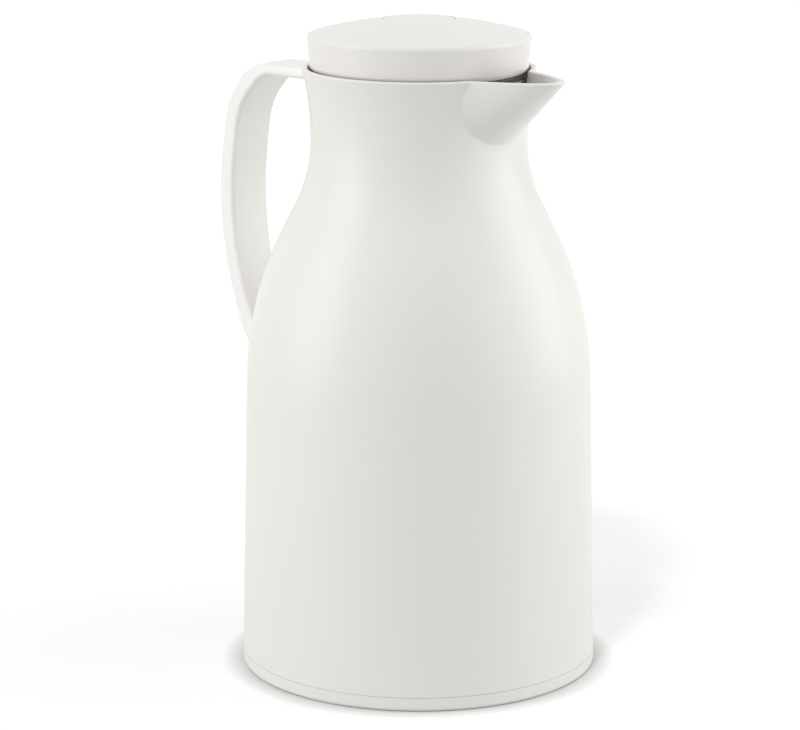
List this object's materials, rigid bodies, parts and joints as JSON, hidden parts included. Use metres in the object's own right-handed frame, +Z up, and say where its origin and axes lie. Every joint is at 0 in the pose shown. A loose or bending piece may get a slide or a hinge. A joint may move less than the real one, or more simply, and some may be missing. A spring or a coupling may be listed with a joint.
{
  "type": "thermal jug",
  "caption": "Tall glass-lined thermal jug with waisted neck, beak spout, strap handle and a domed screw-in lid with a push-button pouring valve.",
  "frame": {"origin": "on the jug's axis in the plane that the foot ring stands on", "axes": "+Z up along the jug's axis, +X towards the spout, the handle on -X"},
  "size_m": [0.1899, 0.1594, 0.2906],
  "materials": {
    "white_plastic": "satin moulded plastic",
    "insert_plastic": "plain moulded plastic",
    "stem_plastic": "plain moulded plastic",
    "dark_seal": "moulded rubber",
    "clear_silicone": "milky silicone",
    "black_rubber": "moulded rubber",
    "silvered_glass": "glass silvered on its vacuum side",
    "spacer_pad": "pressed fibre",
    "foam": "closed-cell foam",
    "steel": "bright wire"
  },
  "bodies": {
    "jug": {"outer_body": "white_plastic", "handle": "white_plastic", "handle_screw": "steel", "neck_collar": "insert_plastic", "collar_seal": "clear_silicone", "liner_inner": "silvered_glass", "liner_outer": "silvered_glass", "liner_spacers": "spacer_pad", "liner_cushion": "black_rubber", "base_cap": "white_plastic", "base_gasket": "black_rubber"},
    "lid_carrier": {"plug_seal": "clear_silicone"},
    "lid_thread": {"stopper_seal": "dark_seal"},
    "lid": {"lid_cap": "white_plastic", "lid_insulation": "foam", "stopper_body": "insert_plastic", "stem_seal": "black_rubber", "return_spring": "steel"},
    "button": {"push_button": "white_plastic", "valve_stem": "stem_plastic", "valve_plate": "insert_plastic", "valve_seal": "clear_silicone", "valve_screw": "steel"}
  },
  "joints": [
    {"name": "lid_lift_off", "type": "slide", "parent": "jug", "child": "lid_carrier", "axis": [0, 0, 1], "range_m": [0, 0.075]},
    {"name": "lid_rise", "type": "slide", "parent": "lid_carrier", "child": "lid_thread", "axis": [0, 0, 1], "range_m": [0, 0.0084]},
    {"name": "lid_turn", "type": "hinge", "parent": "lid_thread", "child": "lid", "pos_m": [0, 0, 0.2677], "axis": [0, 0, 1], "range_deg": [0, 150]},
    {"name": "button_press", "type": "slide", "parent": "lid", "child": "button", "axis": [0, 0, -1], "range_m": [0, 0.006], "stiffness_N_per_m": 1500, "springref_m": -0.004, "deforming": ["return_spring"]}
  ],
  "couplings": [
    {"joint": "lid_rise", "follows": "lid_turn", "m_per_rad": 0.0031831}
  ]
}
